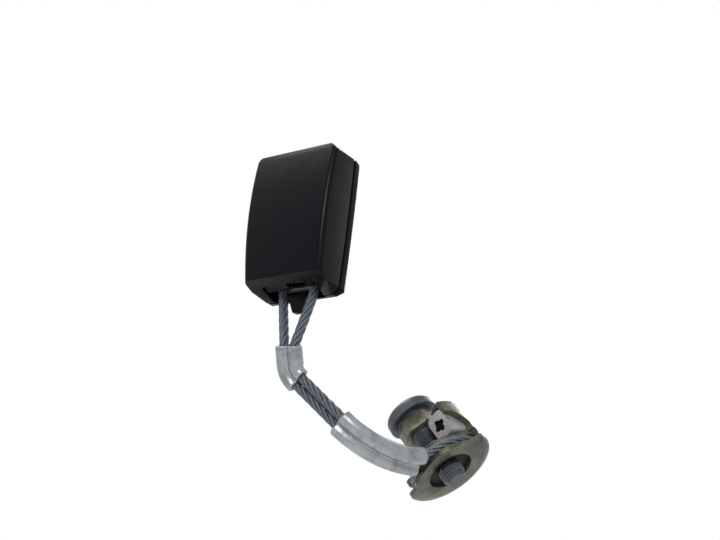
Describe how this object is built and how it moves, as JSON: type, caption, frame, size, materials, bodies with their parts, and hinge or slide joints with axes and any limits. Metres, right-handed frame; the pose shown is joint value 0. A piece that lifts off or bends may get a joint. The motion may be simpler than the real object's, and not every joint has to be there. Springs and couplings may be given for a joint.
{
  "type": "seat belt buckle",
  "caption": "End-release seat belt buckle on a swaged wire rope stalk, with a bolted swivel anchor at its lower end.",
  "frame": {"origin": "where the anchor bolt's axis meets the anchor's seat face", "axes": "+Z from the stalk's end to the tongue slot along the housing, +X across the housing's face, +Y from its front face to its back"},
  "size_m": [0.0817, 0.1014, 0.1428],
  "materials": {
    "black_plastic": "satin moulded",
    "red_plastic": "semi-gloss moulded",
    "white_plastic": "moulded",
    "dark_plastic": "moulded",
    "zinc_steel": "yellow zinc plated",
    "bright_steel": "bright zinc plated",
    "spring_steel": "drawn wire",
    "rope_steel": "galvanised strands",
    "alloy": "swaged"
  },
  "bodies": {
    "base": {"anchor_bracket": "zinc_steel", "buckle_frame": "bright_steel", "button_springs": "spring_steel", "ejector_spring": "spring_steel", "front_shell": "black_plastic", "latch_pin": "bright_steel", "latch_spring": "spring_steel", "lower_sleeve": "alloy", "rear_shell": "black_plastic", "retaining_washer": "dark_plastic", "rope_saddle": "bright_steel", "stop_block": "bright_steel", "thimble": "zinc_steel", "upper_ferrule": "alloy", "wire_rope": "rope_steel"},
    "button": {"release_button": "red_plastic"},
    "slider": {"lock_slider": "bright_steel"},
    "ejector": {"ejector": "white_plastic"},
    "latch": {"latch": "bright_steel"},
    "bolt": {"anchor_bolt": "zinc_steel"},
    "nut": {"hex_nut": "zinc_steel"}
  },
  "joints": [
    {"name": "button_slide", "type": "slide", "parent": "base", "child": "button", "axis": [0, 0, -1], "range_m": [0, 0.0055], "stiffness_N_per_m": 1400, "springref_m": -0.004, "deforming": ["button_springs"]},
    {"name": "slider_slide", "type": "slide", "parent": "base", "child": "slider", "axis": [0, 0, -1], "range_m": [0, 0.0055]},
    {"name": "ejector_slide", "type": "slide", "parent": "base", "child": "ejector", "axis": [0, 0, -1], "range_m": [0, 0.011], "stiffness_N_per_m": 600, "springref_m": -0.005, "deforming": ["ejector_spring"]},
    {"name": "latch_swing", "type": "hinge", "parent": "base", "child": "latch", "pos_m": [-0.04399, -0.06948, 0.0964], "axis": [-1, 0, 0], "range_deg": [0, 10]},
    {"name": "bolt_spin", "type": "hinge", "parent": "base", "child": "bolt", "pos_m": [0, 0, 0], "axis": [0.646, 0.0319, -0.7627], "continuous": true},
    {"name": "nut_spin", "type": "hinge", "parent": "bolt", "child": "nut", "pos_m": [-0.01615, -0.0008, 0.01907], "axis": [0.646, 0.0319, -0.7627], "continuous": true}
  ],
  "couplings": [
    {"joint": "slider_slide", "follows": "button_slide", "ratio": 1},
    {"joint": "latch_swing", "follows": "ejector_slide", "rad_per_m": 15.866}
  ]
}
